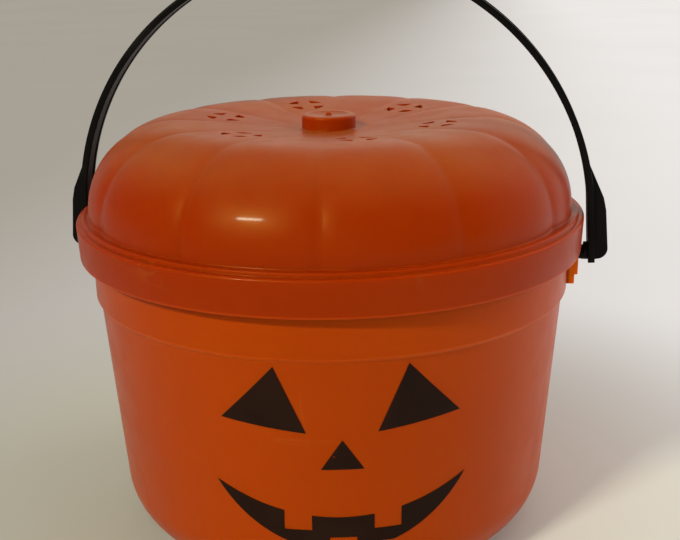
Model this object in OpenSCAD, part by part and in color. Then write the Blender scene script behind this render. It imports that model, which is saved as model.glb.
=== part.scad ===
// Round plastic trick-or-treat pail: a drafted bucket with a printed pumpkin face, a push-on lid
// moulded as a lobed pumpkin top, and a strap handle that swings on two snap pegs.
// Millimetres, +Z up, origin under the middle of the base, handle axis along X, front towards -Y.

/* [Pail] */
// Height of the pail from the table to its rim
pail_h = 109.8; // [90:0.1:150]
// Outside diameter of the wall just under the band
body_d = 165.4; // [140:0.2:200]
// Draft of the wall, in degrees
body_draft = 4.2; // [0:0.1:6]
// Radius of the rounded bottom edge
base_round = 21; // [10:0.5:30]
// Wall and floor thickness
wall = 1.8; // [1.2:0.1:3]
// Inside diameter of the foot ring that the pail stands on
foot_d = 100; // [70:1:104]
// Height of the floor's push-up inside the foot ring
base_rise = 1.5; // [0.5:0.1:4]
// Height of the band around the mouth, up to the rim
band_h = 22.7; // [18:0.1:32]
// How far the band stands out from the wall
band_step = 1.4; // [0.8:0.1:3]
// How far the rim's lip stands out from the band
lip_w = 2; // [1:0.1:3]
// Thickness of the lip
lip_t = 2; // [1.2:0.1:3]

/* [Lid] */
// Lid wall thickness
lid_wall = 1.6; // [1:0.1:2.5]
// Height of the skirt, from its lower edge to the lid's outer edge
skirt_h = 12; // [9:0.1:16]
// Draft of the skirt, in degrees
skirt_draft = 2.4; // [0:0.1:4]
// Room between the pail's lip and the skirt
skirt_gap = 1.3; // [0.8:0.1:2]
// Height of the lid's outer edge over the pail's rim
edge_rise = 4.2; // [3.4:0.1:6]
// Width of the stepped shoulder, from the outer edge to the dome
shoulder_w = 4.4; // [4:0.1:7]
// Width of the ledge between the outer edge and the shoulder's step
ledge_w = 2; // [1.6:0.1:3]
// Height of the shoulder's step over the outer edge
step_h = 1.4; // [0.6:0.1:2]
// Straight lower part of the dome, over the outer edge
dome_wall_h = 3.1; // [2:0.1:10]
// Height of the rounded part of the dome
dome_rise = 28.4; // [15:0.1:40]
// Horizontal reach of the dome's rounded side
dome_side = 30.1; // [20:0.1:36]
// Depth of the dished top around the knob
dish = 3.9; // [0:0.1:6]
// Number of pumpkin lobes, an even number
lobes = 12; // [8:2:16]
// Depth of the grooves between the lobes
groove = 1.1; // [0.4:0.1:2.5]
// Knob diameter
knob_d = 18.8; // [14:0.2:26]
// Knob height over the bottom of the dish
knob_h = 5.3; // [3:0.1:10]
// Turn of the lid on the pail, in degrees
lid_turn = 7; // [-15:0.5:15]

/* [Vents] */
// Diameter of the circle that the vents are centred on
vent_ring = 77.6; // [60:0.2:90]
// Outside diameter of one group of four slots
vent_d = 13.5; // [8:0.1:16]
// Width of a slot
vent_slot = 3.1; // [1:0.1:3.5]
// Width of the cross that parts the four slots
vent_bridge = 4.3; // [2:0.1:6]

/* [Handle] */
// Height of the handle's crown over its pegs
bail_rise = 102.6; // [92:0.1:130]
// Height of the curved crown over the straight legs, as a share of the handle's half width
crown_share = 0.91; // [0.8:0.005:0.95]
// Radius of the shoulder curves between legs and crown, as a share of the half width
shoulder_share = 0.56; // [0.5:0.01:0.7]
// Outward splay of the legs, in degrees
leg_splay = 3.5; // [0:0.5:5]
// Strap width, front to back
strap_w = 7.8; // [5:0.1:12]
// Strap thickness
strap_t = 1.9; // [1.4:0.1:3]
// Depth of the channel along both faces of the strap
strap_channel = 0.35; // [0.1:0.05:0.5]
// How far the strap runs past the peg's axis
strap_tail = 3.7; // [3:0.1:8]
// Width of the fin outside each leg
fin_w = 4.6; // [2:0.1:8]
// Length of the fin, from the strap's end to where it dies out
fin_l = 33.5; // [20:0.5:40]
// Thickness of the fin, front to back
fin_t = 4; // [2:0.1:5]
// Peg diameter
peg_d = 4.9; // [4:0.1:6]
// Diameter of the peg's snap head
head_d = 5.5; // [5.3:0.1:6.4]
// Lift that takes the lid clear of the pail's rim
lid_lift = 8.5; // [8:0.1:14]

/* [Ears] */
// How far an ear stands out from the band
ear_out = 3.7; // [3:0.1:4.5]
// Width of an ear, front to back
ear_w = 9; // [8:0.1:18]
// Depth of the ear's outer block under the peg's axis
ear_drop = 7.2; // [5:0.1:10]
// Depth of the web under the outer block
web_drop = 3.4; // [1:0.1:6]

/* [Print] */
// Turn of the printed face from the front, in degrees
face_turn = 11; // [-20:0.5:20]
// Height of the middle of the printed face
face_z = 53; // [45:0.5:60]
// Width of the printed face
face_w = 78; // [50:1:90]
// Thickness of the ink
ink_t = 0.15; // [0.1:0.05:0.3]

/* [Clearances] */
// Room between a peg and its bore, on radius
peg_gap = 0.05; // [0.02:0.01:0.1]
// Room between parts that pass each other
clear = 0.3; // [0.2:0.05:0.5]
// Room between the handle's legs and the edge of the lifted lid
bail_gap = 0.75; // [0.3:0.05:1.5]
// Room between the pail's rim and the lid's seat rib
seat_gap = 0.1; // [0.05:0.05:0.3]

/* [Hidden] */
$fn = 96;
eps = 0.02;

orange = [0.80, 0.29, 0.03];
lid_orange = [0.78, 0.25, 0.04];
black = [0.05, 0.05, 0.06];
ink_black = [0.10, 0.07, 0.06];

// Pail radii and heights
body_r = body_d / 2;
band_z = pail_h - band_h;
band_r = body_r + band_step;
lip_r = band_r + lip_w;
band_corner = 1.2;
lip_round = 0.6;
foot_slope = 2;
base_r = body_r - (band_z - base_round) * tan(body_draft) - base_round / cos(body_draft);

// Lid radii and heights
lid_r = lip_r + skirt_gap + lid_wall;
edge_z = pail_h + edge_rise;
skirt_z = edge_z - skirt_h;
skirt_r = lid_r - skirt_h * tan(skirt_draft);
edge_round = 0.9;
step_r = lid_r - ledge_w;
step_round = 0.4;
land_z = edge_z + step_h;
under_z = land_z - lid_wall;
rib_t = 1.6;
bead_r = lip_r + clear;
bead_z = skirt_z + 3;
bead_half = 1.2;
dome_r = lid_r - shoulder_w;
crest_r = dome_r - dome_side;
spring_z = edge_z + dome_wall_h;
crest_z = spring_z + dome_rise;
lobe_edge = 3;
knob_r = knob_d / 2;
knob_top = crest_z - dish + knob_h;
knob_wall = 1.6;
knob_round = 0.8;
collar_lap = 1;
collar_in = dome_r - groove - lid_wall - collar_lap;

// Handle points in the plane of the bail, on the strap's outer face
peg_r = peg_d / 2;
bore_r = peg_r + peg_gap;
pivot_z = skirt_z - bore_r - clear;
crown_z = pivot_z + bail_rise;
half_w = lid_r + bail_gap + strap_t;
bail_shoulder = shoulder_share * half_w;
leg_top_z = crown_z - crown_share * half_w;
lid_over = max(0, edge_z + lid_lift - leg_top_z);
leg_top_x = half_w + lid_over * tan(leg_splay) + pow(lid_over, 2) / (2 * bail_shoulder);
end_z = pivot_z - strap_tail;
shoulder_x = leg_top_x - bail_shoulder * cos(leg_splay);
shoulder_z = leg_top_z - bail_shoulder * sin(leg_splay);
crown_excess = crown_z - shoulder_z - bail_shoulder;
crown_drop = (pow(shoulder_x, 2) - pow(crown_excess, 2)) / (2 * crown_excess);
crown_cz = shoulder_z - crown_drop;
crown_r = crown_z - crown_cz;
crown_angle = atan2(crown_drop, shoulder_x);
leg_len = (leg_top_z - end_z) / cos(leg_splay);
peg_root_x = leg_top_x + (leg_top_z - pivot_z) * tan(leg_splay) - strap_t / 2;
head_r = head_d / 2;
head_play = 0.5;
head_x = band_r - wall - head_play;
head_l = 2.4;
tip_share = 0.8;
slit = 1.1;
fin_foot = 0.6;
fin_taper = 0.4;
fin_knee = 0.75;
fin_bend = 1.4;
ear_x = band_r + ear_out;
web_inset = 1.1;
cradle_share = 0.6;
ear_top_z = pivot_z + cradle_share * bore_r;

// Points along an arc of radius r about c, from angle a0 to a1
function arc(c, r, a0, a1, n = 8) =
    [for (i = [0 : n]) let (a = a0 + (a1 - a0) * i / n) c + r * [cos(a), sin(a)]];

function unit(v) = v / norm(v);

// Outer radius of the drafted wall at height z
function wall_r(z) = body_r - (band_z - z) * tan(body_draft);

// Outside of the pail from the middle of the floor up to the lip
function pail_outside() = concat(
    [[0, base_rise], [foot_d / 2 - foot_slope, base_rise], [foot_d / 2, 0]],
    arc([base_r, base_round], base_round, -90, -body_draft, 12),
    [[body_r, band_z]],
    arc([band_r - band_corner, band_z + band_corner], band_corner, -80, 0, 4),
    [[band_r, pail_h - lip_t - lip_w / 2], [lip_r - lip_round, pail_h - lip_t]],
    arc([lip_r - lip_round, pail_h - lip_round], lip_round, 0, 90, 4)
);

// Inside of the pail from the rim down to the middle of the floor
function pail_inside() = concat(
    [[band_r - wall, pail_h], [band_r - wall, band_z + wall + 1], [body_r - wall, band_z + wall - 1]],
    arc([base_r, base_round], base_round - wall, -body_draft, -90, 12),
    [[foot_d / 2, wall], [foot_d / 2 - foot_slope, base_rise + wall], [0, base_rise + wall]]
);

// One ear: an outer block with an open-topped cradle for the peg, on a shallower web
module ear() {
    translate([band_r - wall / 2, -ear_w / 2, pivot_z - ear_drop])
        cube([ear_out + wall / 2, ear_w, ear_top_z - pivot_z + ear_drop]);
    translate([band_r - wall / 2, -ear_w / 2, pivot_z - ear_drop - web_drop])
        cube([ear_out + wall / 2 - web_inset, ear_w, web_drop + eps]);
}

module pail() {
    color(orange)
    difference() {
        union() {
            rotate_extrude()
                polygon(concat(pail_outside(), pail_inside()));
            for (side = [0, 180])
                rotate(side) ear();
        }
        for (side = [0, 180])
            rotate(side)
                translate([head_x, 0, pivot_z])
                    rotate([0, 90, 0])
                        cylinder(r = bore_r, h = ear_x);
    }
}

// Dome profile on the lobes' crowns, from under the shoulder over the crest to the knob
function dome_profile() = concat(
    [[dome_r, under_z + lid_wall / 2], [dome_r, (land_z + spring_z) / 2]],
    [for (a = [0 : 10 : 90]) [crest_r + dome_side * cos(a), spring_z + dome_rise * sin(a)]],
    [for (i = [1 : 5])
        let (r = crest_r + (knob_r - knob_wall / 2 - crest_r) * i / 5)
            [r, crest_z - dish * pow(1 - pow(r / crest_r, 2), 2)]]
);

// Outward normal of a profile at point i
function profile_normal(p, i) =
    let (d = unit(p[min(i + 1, len(p) - 1)] - p[max(i - 1, 0)])) [d[1], -d[0]];

// Depth of the lobing at an angle, a sharp valley between broad lobes
function lobe_depth(a) = groove * pow(1 - abs(sin(a * lobes / 2)), lobe_edge);

// Thin shell of the lobed dome: rings of points on the outer and inner skin
module dome_shell() {
    profile = dome_profile();
    rings = len(profile);
    steps = lobes * 6;
    skin = rings * steps;
    points = [
        for (depth = [0, lid_wall], i = [0 : rings - 1], j = [0 : steps - 1])
            let (
                a = 360 * j / steps,
                sunk = depth + lobe_depth(a) * pow(profile[i][0] / dome_r, 2),
                p = profile[i] - sunk * profile_normal(profile, i)
            )
            [p[0] * cos(a), p[0] * sin(a), p[1]]
    ];
    function at(i, j, inner) = inner * skin + i * steps + j % steps;
    faces = [
        for (i = [0 : rings - 2], j = [0 : steps - 1], half = [0, 1])
            half == 0
                ? [at(i, j, 0), at(i + 1, j, 0), at(i + 1, j + 1, 0)]
                : [at(i, j, 0), at(i + 1, j + 1, 0), at(i, j + 1, 0)],
        for (i = [0 : rings - 2], j = [0 : steps - 1], half = [0, 1])
            half == 0
                ? [at(i, j, 1), at(i + 1, j + 1, 1), at(i + 1, j, 1)]
                : [at(i, j, 1), at(i, j + 1, 1), at(i + 1, j + 1, 1)],
        for (j = [0 : steps - 1], half = [0, 1])
            half == 0
                ? [at(0, j, 0), at(0, j + 1, 0), at(0, j + 1, 1)]
                : [at(0, j, 0), at(0, j + 1, 1), at(0, j, 1)],
        for (j = [0 : steps - 1], half = [0, 1])
            half == 0
                ? [at(rings - 1, j, 0), at(rings - 1, j, 1), at(rings - 1, j + 1, 1)]
                : [at(rings - 1, j, 0), at(rings - 1, j + 1, 1), at(rings - 1, j + 1, 0)]
    ];
    polyhedron(points, faces, convexity = 8);
}

// Shoulder and skirt: seat rib, snap bead, rounded outer edge, ledge and step
function rim_section() = concat(
    [[collar_in, under_z], [band_r - rib_t, under_z],
     [band_r - rib_t, pail_h + seat_gap], [band_r, pail_h + seat_gap]],
    [[band_r, under_z], [step_r - lid_wall, under_z], [lid_r - lid_wall, edge_z - lid_wall]],
    [for (k = [[0, bead_half], [1, bead_half / 3], [1, -bead_half / 3], [0, -bead_half]])
        let (z = bead_z + k[1], inner = lid_r - lid_wall - (edge_z - z) * tan(skirt_draft))
            [k[0] == 0 ? inner : bead_r, z]],
    [[skirt_r - lid_wall, skirt_z], [skirt_r, skirt_z]],
    arc([lid_r - edge_round, edge_z - edge_round], edge_round, 0, 100, 6),
    [[step_r + step_round, edge_z]],
    arc([step_r - step_round, land_z - step_round], step_round, 20, 90, 3),
    [[collar_in, land_z]]
);

// Four slots around a cross, as one flat outline
module vent_outline() {
    difference() {
        circle(d = vent_d);
        circle(d = vent_d - 2 * vent_slot);
        square([vent_d + 1, vent_bridge], center = true);
        square([vent_bridge, vent_d + 1], center = true);
    }
}

module knob() {
    root_z = crest_z - dish - lid_wall;
    rotate_extrude()
        polygon(concat(
            [[knob_r - knob_wall, root_z], [knob_r, root_z]],
            arc([knob_r - knob_round, knob_top - knob_round], knob_round, 0, 90, 5),
            [[0, knob_top], [0, knob_top - knob_wall], [knob_r - knob_wall, knob_top - knob_wall]]
        ));
}

module lid() {
    color(lid_orange)
    rotate(lid_turn - 90) {
        difference() {
            dome_shell();
            for (i = [0 : lobes / 2 - 1])
                rotate((2 * i + 0.5) * 360 / lobes)
                    translate([vent_ring / 2, 0, crest_z - dish - lid_wall])
                        linear_extrude(height = dish + 2 * lid_wall)
                            vent_outline();
        }
        rotate_extrude()
            polygon(rim_section());
        knob();
    }
}

// Right half of the bail's curve at depth d under the strap's outer face, from the end to the crown
function bail_half(d) =
    let (
        leg_foot = [shoulder_x, shoulder_z] + (bail_shoulder - d) * [cos(leg_splay), sin(leg_splay)]
            + leg_len * [sin(leg_splay), -cos(leg_splay)],
        shoulder = arc([shoulder_x, shoulder_z], bail_shoulder - d, leg_splay, crown_angle, 6),
        crown = arc([0, crown_cz], crown_r - d, crown_angle, 90, 16)
    )
    concat([leg_foot], shoulder, [for (i = [1 : len(crown) - 1]) crown[i]]);

// Whole curve of the bail, from the right end over the crown to the left end
function bail_curve(d) =
    let (half = bail_half(d))
    concat(half, [for (i = [len(half) - 2 : -1 : 0]) [-half[i][0], half[i][1]]]);

function reversed(list) = [for (i = [len(list) - 1 : -1 : 0]) list[i]];

// Length of strap between two depths, w wide and centred at y
module bail_band(from, to, w, y = 0) {
    translate([0, y + w / 2, 0])
        rotate([90, 0, 0])
            linear_extrude(height = w)
                polygon(concat(bail_curve(from), reversed(bail_curve(to))));
}

// Strap with a raised rim along both edges, so that a shallow channel runs along both faces
module strap() {
    rim = strap_w / 6;
    bail_band(strap_channel, strap_t - strap_channel, strap_w - rim);
    for (side = [-1, 1])
        bail_band(0, strap_t, rim, side * (strap_w - rim) / 2);
}

// Fin outline outside one leg, drawn along the leg from the strap's end upwards
module fin_outline() {
    round_r = fin_w / 2;
    ramp = fin_l / 3;
    polygon(concat(
        [[-strap_t / 2, 0]],
        arc([fin_w - round_r, fin_foot + round_r], round_r, -90, 0, 5),
        [[fin_w - fin_taper, fin_l - ramp * fin_bend], [fin_w * fin_knee, fin_l - ramp]],
        [[-strap_t / 2, fin_l]]
    ));
}

// Snap peg pointing at the pail: bearing shaft, barbed head and the slit that lets it spring
module peg() {
    neck_x = skirt_r + clear;
    difference() {
        union() {
            translate([head_x - clear, 0, 0])
                rotate([0, 90, 0])
                    cylinder(r = peg_r, h = peg_root_x - head_x + clear);
            translate([neck_x, 0, 0])
                rotate([0, 90, 0])
                    cylinder(r = peg_r + clear / 2, h = peg_root_x - neck_x);
            rotate([0, 90, 0])
                rotate_extrude()
                    polygon([[0, head_x - head_l], [peg_r * tip_share, head_x - head_l],
                             [head_r, head_x - head_l / 3], [head_r, head_x], [0, head_x]]);
        }
        translate([head_x - head_l - 1, -slit / 2, -head_r - 1])
            cube([head_l + 1 + wall, slit, 2 * head_r + 2]);
    }
}

// Fin and peg of one end, on the side of +X
module bail_end() {
    translate([leg_top_x, 0, leg_top_z])
        rotate([0, -leg_splay, 0])
            translate([0, fin_t / 2, -leg_len])
                rotate([90, 0, 0])
                    linear_extrude(height = fin_t)
                        fin_outline();
    translate([0, 0, pivot_z])
        peg();
}

module handle() {
    color(black) {
        strap();
        for (side = [0, 180])
            rotate(side) bail_end();
    }
}

// Ink film: a flat outline wrapped on the front of the drafted wall
module ink_film() {
    low = base_round;
    color(ink_black)
    rotate(face_turn)
        intersection() {
            rotate_extrude()
                polygon([[wall_r(low), low], [wall_r(low) + ink_t, low],
                         [body_r + ink_t, band_z], [body_r, band_z]]);
            translate([0, 0, face_z])
                rotate([90, 0, 0])
                    linear_extrude(height = band_r)
                        children();
        }
}

// Plain three-cornered eye, leaning a little towards the nose
module eye_outline(side) {
    mirror([side < 0 ? 1 : 0, 0])
        polygon(face_w * [[0.14, 0.13], [0.47, 0.17], [0.26, 0.41]]);
}

// Grin between two arcs, with square teeth standing in it
module mouth_outline() {
    half = face_w / 2;
    corner = -face_w * 0.12;
    low = face_w * 0.29;
    high = face_w * 0.13;
    tooth = face_w * 0.11;
    low_r = (half * half + low * low) / (2 * low);
    high_r = (half * half + high * high) / (2 * high);
    difference() {
        translate([0, corner - low + low_r]) circle(r = low_r);
        translate([0, corner - high + high_r]) circle(r = high_r);
        for (x = [-1, 1])
            translate([x * face_w * 0.18 - tooth / 2, corner - high - tooth * 0.55])
                square([tooth, high]);
        translate([-tooth / 2, corner - low - 1])
            square([tooth, tooth * 0.6 + 1]);
    }
}

module printed_left_eye() {
    ink_film() eye_outline(-1);
}

module printed_right_eye() {
    ink_film() eye_outline(1);
}

module printed_nose() {
    ink_film()
        polygon([[-face_w * 0.085, -face_w * 0.03], [face_w * 0.085, -face_w * 0.03], [0, face_w * 0.1]]);
}

module printed_mouth() {
    ink_film() mouth_outline();
}

pail();
lid();
handle();
printed_left_eye();
printed_right_eye();
printed_nose();
printed_mouth();
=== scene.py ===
import math

import bmesh
import bpy
from mathutils import Matrix, Vector


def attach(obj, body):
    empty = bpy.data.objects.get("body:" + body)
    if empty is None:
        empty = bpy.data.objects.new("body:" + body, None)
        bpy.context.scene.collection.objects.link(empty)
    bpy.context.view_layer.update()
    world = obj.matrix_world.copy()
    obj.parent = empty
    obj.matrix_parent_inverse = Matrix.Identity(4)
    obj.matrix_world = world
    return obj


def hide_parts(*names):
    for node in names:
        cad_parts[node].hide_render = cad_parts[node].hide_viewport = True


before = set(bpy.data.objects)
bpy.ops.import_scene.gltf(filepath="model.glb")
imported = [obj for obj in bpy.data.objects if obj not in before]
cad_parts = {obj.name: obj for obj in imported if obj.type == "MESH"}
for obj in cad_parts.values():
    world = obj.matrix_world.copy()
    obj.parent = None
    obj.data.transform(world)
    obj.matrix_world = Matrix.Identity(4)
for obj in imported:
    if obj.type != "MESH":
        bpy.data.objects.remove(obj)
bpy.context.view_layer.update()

MM = 0.001

# Pail, in millimetres as in the part's source
PAIL_H = 109.8
BODY_R = 82.7
DRAFT = math.radians(4.2)
BASE_ROUND = 21
BASE_R = 56.79
BASE_RISE = 1.5
FOOT_R = 50
FOOT_SLOPE = 2
WALL = 1.8
BAND_Z = 87.1
BAND_R = 84.1
STEP_UNDER = 0.9
STEP_TALL = 2.1
STEP_POINTS = 12
LIP_R = 86.1
LIP_TALL = 3
LIP_FACE = 2
LIP_ROUND = 0.6
RIM_ROUND = 0.5
PIVOT_Z = 99.2
BORE_R = 2.5
EAR_X = 87.8
EAR_LOW = 88.6
EAR_WEB_Z = 92
EAR_TOP = 100.7
EAR_HALF_W = 4.5
EAR_ROUND = 0.4
WEB_INSET = 1.1

# Lid
LID_R = 89
EDGE_Z = 114
LAND_Z = 115.4
SKIRT_Z = 102
SKIRT_R = 88.5
STEP_R = 87
DOME_R = 84.6
SPRING_Z = 117.1
CREST_R = 54.5
CREST_Z = 145.5
DOME_SIDE = 30.1
DOME_RISE = 28.4
DISH = 3.9
DISH_IN = 12
LID_WALL = 1.6
GROOVE = 1.1
GROOVE_FADE = 4
LOBES = 12
LID_TURN = math.radians(7 - 90)
LAND_IN = 85.4
LAND_OUT = 86.2
LEDGE_FILLET = 0.6
STEP_ROUND = 0.4
STEP_FILLET = 0.35
EDGE_ROUND = 0.9
SKIRT_ROUND = 0.5
BEAD_R = 86.4
BEAD_Z = 105
COLLAR_GAP = 0.1
KNOB_R = 9.4
KNOB_TOP = 146.9
KNOB_ROOF = 1.8
KNOB_DIP = 0.35
KNOB_ROUND = 1.1
KNOB_FILLET = 0.7
GATE_R = 1.26
GATE_RISE = 0.6
VENT_RING_R = 38.8
VENT_IN = 3.65
VENT_OUT = 6.75
VENT_CROSS = 2.15
VENT_TURN = 15
VENT_TALL = 8
VENT_UNDER = 3

# Handle
SPLAY = math.radians(3.5)
STRAP_T = 2.3
STRAP_TAIL = 2.7
LEG_TOP = Vector((92.065, 0, 118.399))
SHOULDER_R = 51.324
CROWN_Z = 201.8
FIN_HALF_W = 2
FIN_ROUND = 0.45
HEAD_X = 81.8
PEG_END = 92.2
BOSS_LIFT = 0.8

# Printed face
FACE_Z = 53
FACE_W = 78
FACE_TURN = math.radians(11)
INK_T = 0.15
FILM_LOW = 24
FILM_HIGH = BAND_Z - 2
FILM_START = math.radians(-130)
FILM_SPAN = math.radians(80)

# Meshes: angle of a crisp edge, size of a sliver that is merged, reach of a cutting tool and counts of steps
CRISP = math.radians(32)
SLIVER = 0.02
THROUGH = 100
PAIL_STEPS = 240
LOBE_STEPS = 30
DISH_STEPS = 18
DOME_STEPS = 30
PEG_STEPS = 48
SHOULDER_STEPS = 16
CROWN_STEPS = 110
FILM_STEPS = 80


# Shader maths
class Value:
    """A socket's value. Sums written on it add Math nodes to its finish."""

    def __init__(self, finish, socket):
        self.finish = finish
        self.socket = socket

    def math(self, operation, *values):
        return self.finish.node("ShaderNodeMath", {"operation": operation}, values)

    def __add__(self, other):
        return self.math("ADD", self, other)

    def __sub__(self, other):
        return self.math("SUBTRACT", self, other)

    def __rsub__(self, other):
        return self.math("SUBTRACT", other, self)

    def __mul__(self, other):
        return self.math("MULTIPLY", self, other)

    def __abs__(self):
        return self.math("ABSOLUTE", self)

    __radd__ = __add__
    __rmul__ = __mul__


class Finish:
    """A material, or the world, that is built up node by node."""

    def __init__(self, owner):
        self.owner = owner
        owner.use_nodes = True
        self.tree = owner.node_tree
        self.tree.nodes.clear()

    def node(self, kind, settings, sockets, out=0):
        made = self.tree.nodes.new(kind)
        for key, value in settings.items():
            setattr(made, key, value)
        pairs = sockets.items() if isinstance(sockets, dict) else enumerate(sockets)
        for key, value in pairs:
            if isinstance(value, Value):
                self.tree.links.new(value.socket, made.inputs[key])
            else:
                made.inputs[key].default_value = value
        return Value(self, made.outputs[out]) if made.outputs else None

    def place(self, stretch=(1, 1, 1)):
        where = self.node("ShaderNodeTexCoord", {}, {}, "Object")
        return self.node("ShaderNodeMapping", {}, {"Vector": where, "Scale": stretch})

    def noise(self, scale, detail=2.0, stretch=(1, 1, 1)):
        sockets = {"Vector": self.place(stretch), "Scale": scale, "Detail": detail}
        return self.node("ShaderNodeTexNoise", {}, sockets)

    def ramp(self, value, low, high, to_low=0.0, to_high=1.0):
        settings = {"interpolation_type": "SMOOTHSTEP"}
        return self.node("ShaderNodeMapRange", settings, [value, low, high, to_low, to_high])

    def axis(self, vector, name):
        return self.node("ShaderNodeSeparateXYZ", {}, [vector], name)

    def mix(self, share, first, second):
        return self.node("ShaderNodeMix", {"data_type": "RGBA"}, {0: share, 6: first, 7: second}, 2)

    def bump(self, height, strength, distance, under=None):
        sockets = {"Height": height, "Strength": strength, "Distance": distance}
        if under is not None:
            sockets["Normal"] = under
        return self.node("ShaderNodeBump", {}, sockets)

    def done(self, sockets):
        surface = self.node("ShaderNodeBsdfPrincipled", {}, sockets)
        self.node("ShaderNodeOutputMaterial", {}, {"Surface": surface})
        return self.owner


# The pail's orange is lighter than the lid's: a painted glow, as of light coming through its wall
PAIL_ORANGE = (0.385, 0.042, 0.0001, 1)
PAIL_DEEP = (0.36, 0.037, 0.0001, 1)
# Painted highlight for the pail's rounded free edge
PAIL_EDGE_HIGHLIGHT = (0.62, 0.085, 0.001, 1)
LID_ORANGE = (0.285, 0.0215, 0.0001, 1)
LID_DEEP = (0.268, 0.0185, 0.0001, 1)
# Painted highlight for the lid's rounded free edge
LID_EDGE_HIGHLIGHT = (0.46, 0.046, 0.001, 1)
# Pale dust colour, used for dust and painted sheen on upward faces, and for scratches
DUST_AND_SHEEN = (0.42, 0.17, 0.036, 1)
# Painted glow, as of light shining through the ears
PAINTED_EAR_GLOW = (0.68, 0.135, 0.002, 1)
# Heights over which the dust and painted sheen come in
DUST_SHEEN_LOW = 117 * MM
DUST_SHEEN_HIGH = 125 * MM
PAINTED_GLOW_TOP = 101 * MM
BLEND = 1 * MM


def moulded_orange(name, colour, deep, roughness, edge_z, painted_edge_highlight, glow_from_x):
    """Satin dyed plastic: cloudy colour, fine mould grain, hairline scratches, and pale dust with painted
    sheen on top.

    It has a painted highlight along the free edge at edge_z, and a painted glow, as of light shining through,
    where it stands out sideways past the given distance.
    """
    f = Finish(bpy.data.materials.new(name))
    cloud = f.ramp(f.noise(16, 3), 0.3, 0.7)
    hair = f.ramp(abs(f.noise(70, 2, (1, 1, 0.12)) - 0.5), 0.0, 0.012, 1, 0)
    hair_wide = f.ramp(abs(f.noise(45, 2, (0.15, 1, 1)) - 0.5), 0.0, 0.008, 1, 0)
    worn = f.ramp(f.noise(24, 2), 0.56, 0.7)
    scratch = (hair + hair_wide) * worn
    up = f.axis(f.node("ShaderNodeNewGeometry", {}, {}, "Normal"), "Z")
    height = f.axis(f.place(), "Z")
    beside = abs(f.axis(f.place(), "X"))
    dust = f.ramp(f.noise(38, 4), 0.3, 0.75, 0.5, 1)
    # Paler on upward faces of the top: dust, and painted sheen
    dust_and_sheen = f.ramp(up, 0.42, 1.0) * f.ramp(height, DUST_SHEEN_LOW, DUST_SHEEN_HIGH) * dust
    base = f.mix(cloud, colour, deep)
    base = f.mix(dust_and_sheen * 0.28, base, DUST_AND_SHEEN)
    base = f.mix(scratch * 0.12, base, DUST_AND_SHEEN)
    edge = abs(height - edge_z * MM)
    # Painted highlight: a lighter line along the rounded free edge at edge_z
    base = f.mix(f.ramp(edge, 0.2 * BLEND, 1.2 * BLEND, 0.65, 0), base, painted_edge_highlight)
    # Painted glow, as of light shining through, where the plastic stands out sideways below a given height
    painted_glow = f.ramp(beside, glow_from_x * MM, glow_from_x * MM + BLEND) * f.ramp(height, PAINTED_GLOW_TOP, PAINTED_GLOW_TOP + BLEND, 1, 0)
    base = f.mix(painted_glow, base, PAINTED_EAR_GLOW)
    satin = f.ramp(f.noise(90, 3), 0.3, 0.7, roughness - 0.03, roughness + 0.04)
    grain = f.bump(f.noise(1500, 2), 0.05, 0.0002)
    wave = f.bump(f.noise(120, 1), 0.06, 0.001, grain)
    return f.done({
        "Base Color": base,
        "Roughness": satin + dust_and_sheen * 0.08 + scratch * 0.1,
        "Normal": wave,
        "IOR": 1.49,
        "Specular IOR Level": 0.16,
        "Specular Tint": (1, 0.66, 0.12, 1),
        "Subsurface Weight": 0.4,
        "Subsurface Radius": (0.006, 0.002, 0.0005),
        "Subsurface Scale": 1.0,
        "Coat Weight": 0.04,
        "Coat Roughness": 0.1,
    })


def moulded_black(name):
    """Satin black plastic with fine grain and dull rub marks."""
    f = Finish(bpy.data.materials.new(name))
    rub = f.ramp(f.noise(60, 4), 0.5, 0.75)
    worn = f.ramp(f.noise(40, 2), 0.5, 0.65)
    hair = f.ramp(abs(f.noise(90, 2, (1, 1, 0.1)) - 0.5), 0.0, 0.01, 1, 0) * worn
    base = f.mix(rub, (0.0032, 0.0024, 0.0025, 1), (0.006, 0.0048, 0.0048, 1))
    base = f.mix(hair * 0.3, base, (0.03, 0.027, 0.026, 1))
    grain = f.bump(f.noise(1800, 2), 0.06, 0.0002)
    return f.done({
        "Base Color": base,
        "Roughness": 0.38 + rub * 0.08 + hair * 0.1,
        "Normal": grain,
        "IOR": 1.5,
        "Specular IOR Level": 0.07,
    })


def screen_ink(name, under):
    """Screen ink: nearly black, matt, with a few pinholes that show the plastic."""
    f = Finish(bpy.data.materials.new(name))
    cloud = f.ramp(f.noise(45, 3), 0.3, 0.7)
    pinhole = f.ramp(f.noise(520, 1), 0.765, 0.79) * f.ramp(f.noise(60, 2), 0.5, 0.6)
    base = f.mix(cloud, (0.0125, 0.0045, 0.0026, 1), (0.018, 0.0062, 0.0036, 1))
    base = f.mix(pinhole, base, under)
    grain = f.bump(f.noise(1300, 2), 0.08, 0.0002)
    return f.done({
        "Base Color": base,
        "Roughness": 0.46 + cloud * 0.08,
        "Normal": grain,
        "IOR": 1.48,
        "Specular IOR Level": 0.07,
    })


# The lid has nothing that stands out to the side, so the distance past which its glow is painted lies outside
# it
pail_plastic = moulded_orange("pail_plastic", PAIL_ORANGE, PAIL_DEEP, 0.36, BAND_Z + 0.2, PAIL_EDGE_HIGHLIGHT,
                              BAND_R + 0.3)
lid_plastic = moulded_orange("lid_plastic", LID_ORANGE, LID_DEEP, 0.38, SKIRT_Z, LID_EDGE_HIGHLIGHT, 2 * LID_R)
handle_plastic = moulded_black("handle_plastic")
ink = screen_ink("ink", PAIL_ORANGE)


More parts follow.
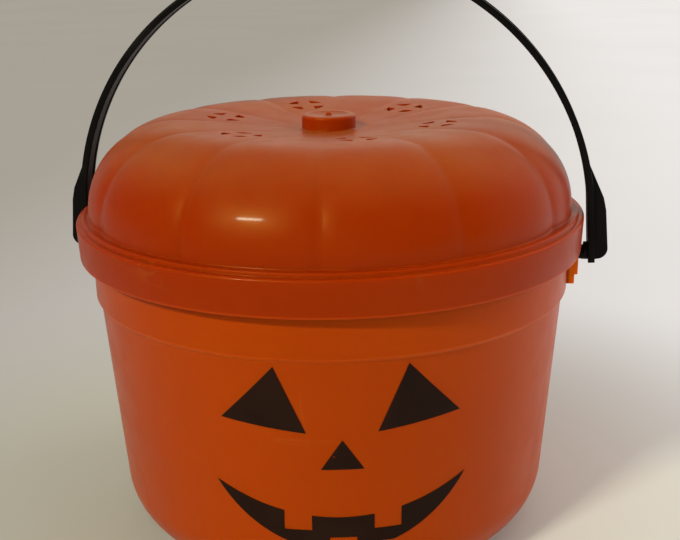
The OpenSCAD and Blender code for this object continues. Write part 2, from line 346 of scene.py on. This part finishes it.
# Modelling helpers
def arc(x, z, r, start, end, count=6):
    """Points of a rounding about (x, z), angles in degrees."""
    turns = [math.radians(start + (end - start) * i / count) for i in range(count + 1)]
    return [(x + r * math.cos(t), z + r * math.sin(t)) for t in turns]


def outline(bm, points):
    """Closed wire in the XZ plane."""
    verts = [bm.verts.new(Vector((x, 0, z)) * MM) for x, z in points]
    edges = [bm.edges.new((a, b)) for a, b in zip(verts, verts[1:] + verts[:1])]
    return verts + edges


def spun(bm, points, steps):
    """Solid of revolution about Z from a profile that begins and ends on the axis."""
    verts = [bm.verts.new(Vector((x, 0, z)) * MM) for x, z in points]
    edges = [bm.edges.new(pair) for pair in zip(verts, verts[1:])]
    bmesh.ops.spin(bm, geom=verts + edges, axis=(0, 0, 1), angle=math.tau, steps=steps, use_merge=True)
    bmesh.ops.remove_doubles(bm, verts=bm.verts, dist=1e-7)
    bmesh.ops.recalc_face_normals(bm, faces=bm.faces)


def of_kind(geometry, kind):
    return [g for g in geometry if isinstance(g, kind)]


def thicken(bm, along):
    """Solid from the flat faces of a bmesh, pushed along a vector."""
    raised = bmesh.ops.extrude_face_region(bm, geom=bm.faces[:])["geom"]
    bmesh.ops.translate(bm, verts=of_kind(raised, bmesh.types.BMVert), vec=along * MM)
    bmesh.ops.recalc_face_normals(bm, faces=bm.faces)


def prism(bm, points, low, high):
    """Solid between two heights along Y from a closed outline in the XZ plane."""
    ring = outline(bm, points)
    bmesh.ops.contextual_create(bm, geom=ring[len(points):])
    thicken(bm, Vector((0, high - low, 0)))
    bmesh.ops.translate(bm, verts=bm.verts, vec=(0, low * MM, 0))


def soften(bm, radius, least=40):
    """Rounds every edge that turns by more than an angle in degrees."""
    edges = [e for e in bm.edges if e.calc_face_angle(0) > math.radians(least)]
    bmesh.ops.bevel(bm, geom=edges, offset=radius * MM, offset_type="OFFSET", segments=3, profile=0.5,
                    affect="EDGES", clamp_overlap=True, material=-1)


def block(bm, low, high):
    """Box between two corners."""
    size = [(b - a) * MM for a, b in zip(low, high)]
    middle = [(a + b) / 2 for a, b in zip(low, high)]
    spot = Matrix.Translation(Vector(middle) * MM) @ Matrix.Diagonal((*size, 1))
    bmesh.ops.create_cube(bm, size=1, matrix=spot)


def solid(bm, name):
    """The bmesh as a smooth object at the origin."""
    for face in bm.faces:
        face.smooth = True
    mesh = bpy.data.meshes.new(name)
    bm.to_mesh(mesh)
    bm.free()
    made = bpy.data.objects.new(name, mesh)
    bpy.context.scene.collection.objects.link(made)
    return made


def carve(target, tool, operation):
    """Boolean of two solids, applied; the tool is used up."""
    step = target.modifiers.new("carve", "BOOLEAN")
    step.operation = operation
    step.solver = "EXACT"
    step.object = tool
    bpy.context.view_layer.update()
    carved = target.evaluated_get(bpy.context.evaluated_depsgraph_get())
    result = bpy.data.meshes.new_from_object(carved)
    target.modifiers.clear()
    target.data = result
    bpy.data.objects.remove(tool)


def mend(piece):
    """Merges the slivers that Booleans left, splits many-sided faces and marks crisp edges."""
    bm = bmesh.new()
    bm.from_mesh(piece.data)
    bmesh.ops.remove_doubles(bm, verts=bm.verts, dist=SLIVER * MM)
    bmesh.ops.dissolve_degenerate(bm, edges=bm.edges, dist=SLIVER * MM)
    bmesh.ops.triangulate(bm, faces=[f for f in bm.faces if len(f.verts) > 4], ngon_method="BEAUTY")
    bmesh.ops.recalc_face_normals(bm, faces=bm.faces)
    bm.to_mesh(piece.data)
    bm.free()
    piece.data.set_sharp_from_angle(angle=CRISP)


def finished(piece, body, finish, node):
    """Gives a piece its finish and the body it rides on, and hides the imported part it stands for."""
    mend(piece)
    piece.data.materials.clear()
    piece.data.materials.append(finish)
    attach(piece, body)
    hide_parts(node)


# Camera at the photograph's angle; its focal length is in pixels of a picture 680 wide
CAMERA_SPOT = (0.05966, -0.36435, 0.2036)
CAMERA_TURN = math.radians(8.813)
CAMERA_PITCH = math.radians(17.17)
CAMERA_ROLL = -0.0153
FOCAL_PIXELS = 1055.63
PICTURE_W = 680
SENSOR_W = 36


def set_camera():
    lens = bpy.data.cameras.new("camera")
    lens.sensor_width = SENSOR_W
    lens.lens = SENSOR_W * FOCAL_PIXELS / PICTURE_W
    lens.clip_start = 0.01
    camera = bpy.data.objects.new("camera", lens)
    turn = Matrix.Rotation(CAMERA_TURN, 4, "Z")
    pitch = Matrix.Rotation(math.pi / 2 - CAMERA_PITCH, 4, "X")
    roll = Matrix.Rotation(CAMERA_ROLL, 4, "Z")
    camera.matrix_world = Matrix.Translation(CAMERA_SPOT) @ turn @ pitch @ roll
    bpy.context.scene.collection.objects.link(camera)
    bpy.context.scene.camera = camera


# Pail
ON_PIVOT = Matrix.Translation((0, 0, PIVOT_Z * MM)) @ Matrix.Rotation(math.pi / 2, 4, "Y")


def wall_r(z):
    """Outer radius of the drafted wall at a height."""
    return BODY_R - (BAND_Z - z) * math.tan(DRAFT)


def pail_profile():
    steep = math.degrees(DRAFT)
    foot_in = FOOT_R - FOOT_SLOPE
    outside = [(0, BASE_RISE), (foot_in, BASE_RISE), (foot_in + 1, BASE_RISE / 2), (FOOT_R + 0.2, 0)]
    outside += arc(BASE_R, BASE_ROUND, BASE_ROUND, -90, -steep, 30)
    # The band swells out of the wall in a soft S
    for i in range(STEP_POINTS + 1):
        t = i / STEP_POINTS
        z = BAND_Z - STEP_UNDER + STEP_TALL * t
        outside.append((wall_r(z) + (BAND_R - wall_r(z)) * t * t * (3 - 2 * t), z))
    outside += [(BAND_R, PAIL_H - LIP_TALL), (LIP_R - LIP_ROUND, PAIL_H - LIP_FACE)]
    outside += arc(LIP_R - LIP_ROUND, PAIL_H - LIP_ROUND, LIP_ROUND, 0, 90, 5)
    inside = arc(BAND_R - WALL + RIM_ROUND, PAIL_H - RIM_ROUND, RIM_ROUND, 90, 180, 4)
    inside += [(BAND_R - WALL, BAND_Z + WALL + 1), (BODY_R - WALL, BAND_Z + WALL - 1)]
    inside += arc(BASE_R, BASE_ROUND, BASE_ROUND - WALL, -steep, -90, 24)
    inside += [(FOOT_R, WALL), (foot_in, BASE_RISE + WALL), (0, BASE_RISE + WALL)]
    return outside + inside


def make_pail():
    bm = bmesh.new()
    spun(bm, pail_profile(), PAIL_STEPS)
    pail = solid(bm, "pail_moulding")
    for side in (1, -1):
        near = side * (BAND_R - 1)
        web = side * (EAR_X - WEB_INSET)
        far = side * EAR_X
        ear = bmesh.new()
        prism(ear, [(near, EAR_LOW), (web, EAR_LOW), (web, EAR_WEB_Z), (far, EAR_WEB_Z), (far, EAR_TOP),
                    (near, EAR_TOP)], -EAR_HALF_W, EAR_HALF_W)
        soften(ear, EAR_ROUND)
        carve(pail, solid(ear, "ear"), "UNION")
    bores = bmesh.new()
    bmesh.ops.create_cone(bores, cap_ends=True, segments=64, radius1=BORE_R * MM, radius2=BORE_R * MM,
                          depth=2 * THROUGH * MM, matrix=ON_PIVOT)
    carve(pail, solid(bores, "bores"), "DIFFERENCE")
    finished(pail, "pail", pail_plastic, "pail")


# Lid
def dish_z(r):
    """Height of the dished top."""
    return CREST_Z - DISH * (1 - (r / CREST_R) ** 2) ** 2


def dome_normal(r, z):
    """Direction square to the dome's profile."""
    if z < SPRING_Z:
        return Vector((1, 0))
    if r > CREST_R:
        return Vector(((r - CREST_R) / DOME_SIDE ** 2, (z - SPRING_Z) / DOME_RISE ** 2)).normalized()
    slope = (dish_z(r + 0.01) - dish_z(r - 0.01)) / 0.02
    return Vector((-slope, 1)).normalized()


def dome_line(depth):
    """Dome profile from beside the knob out to the shoulder, sunk by a depth."""
    radii = [DISH_IN + i * (CREST_R - DISH_IN) / DISH_STEPS for i in range(DISH_STEPS)]
    points = [(r, dish_z(r)) for r in radii]
    turns = [math.radians(90 - 90 / DOME_STEPS * i) for i in range(DOME_STEPS + 1)]
    points += [(CREST_R + DOME_SIDE * math.cos(t), SPRING_Z + DOME_RISE * math.sin(t)) for t in turns]
    sunk = []
    for r, z in points:
        n = dome_normal(r, z + 0.001)
        sunk.append((r - depth * n.x, z - depth * n.y))
    return sunk


def knob_line():
    """Knob from the gate nub in its dished top down to the dome."""
    gate_top = KNOB_TOP + GATE_RISE
    dip = KNOB_TOP - KNOB_DIP
    points = [(0, gate_top), (0.55, gate_top), (0.75, gate_top - 0.15), (GATE_R, dip)]
    points += [(6.2, dip), (6.9, KNOB_TOP - 0.05), (7.2, KNOB_TOP), (KNOB_R - 1.4, KNOB_TOP - 0.03)]
    points += arc(KNOB_R - KNOB_ROUND, KNOB_TOP - KNOB_ROUND, KNOB_ROUND, 75, 0, 7)
    points += arc(KNOB_R + KNOB_FILLET, dish_z(KNOB_R) + KNOB_FILLET + 0.05, KNOB_FILLET, 180, 262, 5)
    return points


def shoulder_line():
    """Ledge, step and edge from the dome's foot down to the end of the skirt."""
    points = [(DOME_R, LAND_Z + 1.1)]
    points += arc(DOME_R + LEDGE_FILLET, LAND_Z + LEDGE_FILLET, LEDGE_FILLET, 180, 270, 4)
    points += [(LAND_IN, LAND_Z), (LAND_OUT, LAND_Z)]
    points += arc(STEP_R - STEP_ROUND, LAND_Z - STEP_ROUND, STEP_ROUND, 90, 15, 4)
    points += arc(STEP_R + STEP_FILLET, EDGE_Z + STEP_FILLET - 0.03, STEP_FILLET, 195, 270, 4)
    points += arc(LID_R - EDGE_ROUND, EDGE_Z - EDGE_ROUND, EDGE_ROUND, 88, 0, 8)
    points += arc(SKIRT_R - SKIRT_ROUND, SKIRT_Z + SKIRT_ROUND, SKIRT_ROUND, 0, -90, 5)
    return points


def skirt_inside():
    """Inside of the skirt with its snap bead, and the collar that sits in the pail's mouth."""
    skirt_in = SKIRT_R - LID_WALL
    under_z = LAND_Z - LID_WALL
    collar_z = PAIL_H + COLLAR_GAP
    points = [(skirt_in, SKIRT_Z), (skirt_in + 0.07, BEAD_Z - 1.2), (BEAD_R, BEAD_Z - 0.4)]
    points += [(BEAD_R, BEAD_Z + 0.4), (skirt_in + 0.17, BEAD_Z + 1.2)]
    points += [(LID_R - LID_WALL, EDGE_Z - LID_WALL), (LAND_IN, under_z), (BAND_R, under_z)]
    points += [(BAND_R, collar_z), (BAND_R - LID_WALL, collar_z), (BAND_R - LID_WALL, under_z)]
    return points


def lid_profile():
    knob_in = KNOB_R - LID_WALL
    roof_z = KNOB_TOP - KNOB_ROOF
    hollow = [(knob_in, dish_z(knob_in) - LID_WALL), (knob_in, roof_z), (0, roof_z)]
    outside = knob_line() + dome_line(0) + shoulder_line()
    return outside + skirt_inside() + dome_line(LID_WALL)[::-1] + hollow


def press_lobes(bm):
    """Sinks the grooves between the pumpkin lobes into the dome's wall."""
    for v in bm.verts:
        r, z = math.hypot(v.co.x, v.co.y) / MM, v.co.z / MM
        if z < LAND_Z - LID_WALL + 0.05 or r > LAND_OUT or r < KNOB_R + 0.05:
            continue
        a = math.atan2(v.co.y, v.co.x)
        fade = min(1, (LAND_OUT - r) / (LAND_OUT - DOME_R)) * min(1, (r - KNOB_R) / GROOVE_FADE)
        depth = fade * GROOVE * (1 - abs(math.sin(a * LOBES / 2))) ** 3 * (r / DOME_R) ** 2
        n = dome_normal(r, z)
        v.co -= Vector((n.x * math.cos(a), n.x * math.sin(a), n.y)) * depth * MM


def vent_slot():
    """One quarter of a ring, cut back by half of the cross beside it."""
    slot = bmesh.new()
    inner = slot.verts.new((VENT_IN * MM, 0, 0))
    outer = slot.verts.new((VENT_OUT * MM, 0, 0))
    edge = slot.edges.new((inner, outer))
    bmesh.ops.spin(slot, geom=[inner, outer, edge], axis=(0, 0, 1), angle=math.pi / 2, steps=24)
    for normal in ((1, 0, 0), (0, 1, 0)):
        whole = slot.verts[:] + slot.edges[:] + slot.faces[:]
        bmesh.ops.bisect_plane(slot, geom=whole, dist=1e-7, plane_co=Vector(normal) * VENT_CROSS * MM,
                               plane_no=normal, clear_inner=True)
    thicken(slot, Vector((0, 0, VENT_TALL)))
    return slot


def vent_tool():
    """Six groups of four curved slots, each group parted by a cross."""
    bm = bmesh.new()
    to_ring = Matrix.Translation(Vector((VENT_RING_R, 0, CREST_Z - DISH - VENT_UNDER)) * MM)
    groups = LOBES // 2
    for group in range(groups):
        about = Matrix.Rotation(math.radians(VENT_TURN + 360 / groups * group), 4, "Z")
        for quarter in range(4):
            slot = vent_slot()
            place = about @ to_ring @ Matrix.Rotation(quarter * math.pi / 2, 4, "Z")
            bmesh.ops.transform(slot, matrix=place, verts=slot.verts)
            part = bpy.data.meshes.new("slot")
            slot.to_mesh(part)
            slot.free()
            bm.from_mesh(part)
            bpy.data.meshes.remove(part)
    return solid(bm, "vents")


def make_lid():
    bm = bmesh.new()
    spun(bm, lid_profile(), LOBES * LOBE_STEPS)
    press_lobes(bm)
    lid = solid(bm, "lid_moulding")
    carve(lid, vent_tool(), "DIFFERENCE")
    lid.data.transform(Matrix.Rotation(LID_TURN, 4, "Z"))
    finished(lid, "lid", lid_plastic, "lid")


# Handle
def strap_section():
    """Strap with a shallow channel in both faces, as depth under the outer face and place across."""
    half = [(0.3, 4.3), (0.1, 4.2), (0, 4.0), (0, 3.1), (0.25, 2.85), (0.25, 0)]
    face_out = half + [(d, -y) for d, y in half[-2::-1]]
    return face_out + [(STRAP_T - d, y) for d, y in face_out[::-1]]


def make_handle():
    leg = Vector((math.sin(SPLAY), 0, -math.cos(SPLAY)))
    out = Vector((math.cos(SPLAY), 0, math.sin(SPLAY)))
    shoulder = LEG_TOP - out * SHOULDER_R
    excess = CROWN_Z - shoulder.z - SHOULDER_R
    drop = (shoulder.x ** 2 - excess ** 2) / (2 * excess)
    crown = Vector((0, 0, shoulder.z - drop))
    lean = math.atan2(drop, shoulder.x)
    leg_len = (LEG_TOP.z - (PIVOT_Z - STRAP_TAIL)) / math.cos(SPLAY)
    foot = LEG_TOP + leg * leg_len
    bm = bmesh.new()
    verts = [bm.verts.new((foot - out * d + Vector((0, y, 0))) * MM) for d, y in strap_section()]
    loop = [bm.edges.new((a, b)) for a, b in zip(verts, verts[1:] + verts[:1])]
    bmesh.ops.contextual_create(bm, geom=loop)

    def straight(edges, along):
        made = bmesh.ops.extrude_edge_only(bm, edges=edges)["geom"]
        bmesh.ops.translate(bm, verts=of_kind(made, bmesh.types.BMVert), vec=along * MM)
        return of_kind(made, bmesh.types.BMEdge)

    def bend(edges, centre, angle, steps):
        ends = list({v for e in edges for v in e.verts})
        made = bmesh.ops.spin(bm, geom=ends + edges, cent=centre * MM, axis=(0, -1, 0), angle=angle,
                              steps=steps)
        return of_kind(made["geom_last"], bmesh.types.BMEdge)

    edges = straight(loop, -leg * leg_len)
    edges = bend(edges, shoulder, lean - SPLAY, SHOULDER_STEPS)
    edges = bend(edges, crown, math.pi - 2 * lean, CROWN_STEPS)
    edges = bend(edges, Vector((-shoulder.x, 0, shoulder.z)), lean - SPLAY, SHOULDER_STEPS)
    edges = straight(edges, Vector((-leg.x, 0, leg.z)) * leg_len)
    bmesh.ops.contextual_create(bm, geom=edges)
    bmesh.ops.recalc_face_normals(bm, faces=bm.faces)
    strap = solid(bm, "handle_moulding")
    for side in (1, -1):
        carve(strap, bail_end(side, foot), "UNION")
    finished(strap, "handle", handle_plastic, "handle")


def bail_end(side, foot):
    """Fin outside the leg, snap peg and boss, as one tool to join on.

    The fin's points are places outside the strap and along it, those of the peg and boss radii and places
    along the pivot.
    """
    bm = bmesh.new()
    fin = [(-0.95, 0.3)] + arc(0.92, 4.28, 3.68, -90, 0, 12) + [(4.2, 17.9), (3.45, 22.3), (-0.95, 33.5)]
    prism(bm, fin, -FIN_HALF_W, FIN_HALF_W)
    soften(bm, FIN_ROUND, 68)
    lean = Matrix.Translation(foot * MM) @ Matrix.Rotation(-SPLAY, 4, "Y")
    bmesh.ops.transform(bm, matrix=lean, verts=bm.verts)
    fins = solid(bm, "fin")
    peg = bmesh.new()
    shaft = [(0, 79.4), (1.96, 79.4), (2.75, 81), (2.75, HEAD_X), (2.45, HEAD_X), (2.45, 88.8)]
    shaft += [(2.5, 88.85), (2.6, 88.9), (2.6, PEG_END), (0, PEG_END)]
    spun(peg, shaft, PEG_STEPS)
    bmesh.ops.transform(peg, matrix=ON_PIVOT, verts=peg.verts)
    carve(fins, solid(peg, "peg"), "UNION")
    boss = bmesh.new()
    spun(boss, [(0, 89.4), (2.6, 89.4), (2.9, 89.7), (2.9, PEG_END), (0, PEG_END)], PEG_STEPS)
    bmesh.ops.transform(boss, matrix=Matrix.Translation((0, 0, BOSS_LIFT * MM)) @ ON_PIVOT, verts=boss.verts)
    carve(fins, solid(boss, "boss"), "UNION")
    if side < 0:
        fins.data.transform(Matrix.Rotation(math.pi, 4, "Z"))
    return fins


# Printed face
def ink_film(name):
    """Thin shell on the front of the drafted wall."""
    bm = bmesh.new()
    low_r = wall_r(FILM_LOW)
    high_r = wall_r(FILM_HIGH)
    ring = outline(bm, [(low_r, FILM_LOW), (low_r + INK_T, FILM_LOW), (high_r + INK_T, FILM_HIGH),
                        (high_r, FILM_HIGH)])
    bmesh.ops.rotate(bm, verts=ring[:4], cent=(0, 0, 0), matrix=Matrix.Rotation(FILM_START, 3, "Z"))
    bmesh.ops.contextual_create(bm, geom=ring[4:])
    bmesh.ops.spin(bm, geom=ring, axis=(0, 0, 1), angle=FILM_SPAN, steps=FILM_STEPS)
    ends = [e for e in bm.edges if e.is_boundary]
    bmesh.ops.contextual_create(bm, geom=ends)
    bmesh.ops.remove_doubles(bm, verts=bm.verts, dist=1e-8)
    bmesh.ops.recalc_face_normals(bm, faces=bm.faces)
    return solid(bm, name)


def stencil(points):
    """Prism through the wall from an outline on the face, in shares of its width."""
    bm = bmesh.new()
    prism(bm, [(x * FACE_W, FACE_Z + z * FACE_W) for x, z in points], -THROUGH, 0)
    return solid(bm, "stencil")


def disc(z, r):
    """Round stencil for the grin, centred above the mouth."""
    bm = bmesh.new()
    spot = Matrix.Translation((0, -THROUGH / 2 * MM, z * MM)) @ Matrix.Rotation(math.pi / 2, 4, "X")
    bmesh.ops.create_cone(bm, cap_ends=True, segments=256, radius1=r * MM, radius2=r * MM,
                          depth=THROUGH * MM, matrix=spot)
    return solid(bm, "disc")


def printed(film, node):
    """Turns a film to where the face looks and finishes it."""
    film.data.transform(Matrix.Rotation(FACE_TURN, 4, "Z"))
    finished(film, "pail", ink, node)


def circle_r(half, sag):
    """Radius of a circle that sags by so much over half a width."""
    return (half ** 2 + sag ** 2) / (2 * sag)


def make_print():
    eye = [(0.14, 0.13), (0.47, 0.17), (0.26, 0.41)]
    marks = {
        "printed_left_eye": [(-x, z) for x, z in eye],
        "printed_right_eye": eye,
        "printed_nose": [(-0.085, -0.03), (0.085, -0.03), (0, 0.1)],
    }
    for node, points in marks.items():
        film = ink_film(node.replace("printed", "ink"))
        carve(film, stencil(points), "INTERSECT")
        printed(film, node)
    # The grin lies between two arcs that sag by low and high under its corners
    corner = FACE_Z - 0.12 * FACE_W
    low = 0.29 * FACE_W
    high = 0.13 * FACE_W
    low_r = circle_r(FACE_W / 2, low)
    high_r = circle_r(FACE_W / 2, high)
    film = ink_film("ink_mouth")
    carve(film, disc(corner - low + low_r, low_r), "INTERSECT")
    carve(film, disc(corner - high + high_r, high_r), "DIFFERENCE")
    tooth = 0.11 * FACE_W
    bottom = corner - high - 0.55 * tooth
    teeth = bmesh.new()
    for x in (-0.18 * FACE_W, 0.18 * FACE_W):
        block(teeth, (x - tooth / 2, -THROUGH, bottom), (x + tooth / 2, 0, bottom + high))
    block(teeth, (-tooth / 2, -THROUGH, corner - low - 1), (tooth / 2, 0, corner - low + 0.6 * tooth))
    carve(film, solid(teeth, "teeth"), "DIFFERENCE")
    printed(film, "printed_mouth")


# Floor and light
BLACK = (0, 0, 0, 1)
FLOOR_SHADED_LEFT = (0.385, 0.352, 0.30, 1)
FLOOR_LIT_RIGHT = (0.86, 0.825, 0.80, 1)
FLOOR_CLOUD = (0.5, 0.48, 0.45, 1)
ROOM_FRONT = (0.09, 0.084, 0.072, 1)
ROOM_SIDE = (0.40, 0.365, 0.30, 1)
ROOM_BACK = (1.0, 0.93, 0.80, 1)
ROOM_SEEN = (0.8, 0.78, 0.75, 1)
TO_BRIGHT_WALL = (0.4, 0.9, 0.1)
LAMP_TARGET = Vector((0, 0, 0.11))
WARM = (1.0, 1.05, 0.82)
WHITE = (1.0, 1.0, 1.0)


def floor_finish():
    """Pale paper with painted light, dim at the left and bright at the right, that keeps the pail's shadow
    near it.
    """
    f = Finish(bpy.data.materials.new("pale_floor"))
    # Painted light: the paper's colour brightens from the left to the right
    tone = f.mix(f.ramp(f.axis(f.place(), "X"), -0.42, 0.34), FLOOR_SHADED_LEFT, FLOOR_LIT_RIGHT)
    tone = f.mix(f.ramp(f.noise(3, 2), 0.3, 0.7, 0, 0.06), tone, FLOOR_CLOUD)
    matt = {"Base Color": f.mix(0.17, tone, BLACK), "Roughness": 0.7, "Specular IOR Level": 0.2}
    paper = f.node("ShaderNodeBsdfPrincipled", {}, matt)
    # Away from the pail the floor shows its pale colour whatever light falls there
    reach = f.node("ShaderNodeVectorMath", {"operation": "LENGTH"}, [f.place()], "Value")
    path = {name: f.node("ShaderNodeLightPath", {}, {}, name)
            for name in ("Is Camera Ray", "Is Glossy Ray", "Is Transmission Ray")}
    seen = path["Is Camera Ray"] + path["Is Glossy Ray"] + path["Is Transmission Ray"]
    pale = f.node("ShaderNodeEmission", {}, {"Color": tone, "Strength": 1.0})
    far = f.node("ShaderNodeMixShader", {}, [f.ramp(reach, 0.1, 0.29) * seen, paper, pale])
    f.node("ShaderNodeOutputMaterial", {}, {"Surface": far})
    return f.owner


def room():
    """Surroundings: pale behind and to the right of the pail, dimmer towards the front."""
    w = Finish(bpy.data.worlds.new("studio"))
    way = w.node("ShaderNodeTexCoord", {}, {}, "Generated")
    along = w.node("ShaderNodeVectorMath", {"operation": "DOT_PRODUCT"}, {0: way, 1: TO_BRIGHT_WALL}, "Value")
    surround = w.mix(w.ramp(along, -0.4, 0.7), ROOM_FRONT, ROOM_SIDE)
    surround = w.mix(w.ramp(along, 0.5, 0.95), surround, ROOM_BACK)
    seen = w.node("ShaderNodeLightPath", {}, {}, "Is Camera Ray")
    surround = w.mix(seen, surround, ROOM_SEEN)
    sky = w.node("ShaderNodeBackground", {}, {"Color": surround, "Strength": 1.0})
    w.node("ShaderNodeOutputWorld", {}, {"Surface": sky})
    return w.owner


def set_stage():
    bm = bmesh.new()
    bmesh.ops.create_grid(bm, x_segments=1, y_segments=1, size=6)
    floor = solid(bm, "floor")
    floor.data.materials.append(floor_finish())
    bpy.context.scene.world = room()
    # Name, place, width, height, roll, power, colour and whether it leaves a highlight
    for name, spot, wide, tall, roll, watts, colour, glint in (
        ("window", (-0.62, -1.05, 0.95), 0.26, 0.05, 0.25, 16, WARM, True),
        ("front_softbox", (-0.1, -1.6, 0.55), 2.0, 1.0, 0, 9, WARM, False),
        ("side_softbox", (1.7, 0.4, 0.8), 1.6, 1.4, 0, 19, WHITE, False),
        ("overhead_softbox", (0.2, 0.5, 1.8), 2.0, 2.0, 0, 7, WHITE, False),
    ):
        lamp = bpy.data.lights.new(name, "AREA")
        lamp.shape = "RECTANGLE"
        lamp.size = wide
        lamp.size_y = tall
        lamp.energy = watts
        lamp.color = colour
        light = bpy.data.objects.new(name, lamp)
        light.visible_glossy = glint
        light.location = spot
        aim = (LAMP_TARGET - Vector(spot)).to_track_quat("-Z", "Y").to_matrix()
        light.rotation_euler = (aim @ Matrix.Rotation(roll, 3, "Z")).to_euler()
        bpy.context.scene.collection.objects.link(light)
    bpy.context.scene.view_settings.view_transform = "Standard"


set_camera()
make_pail()
make_lid()
make_handle()
make_print()
set_stage()
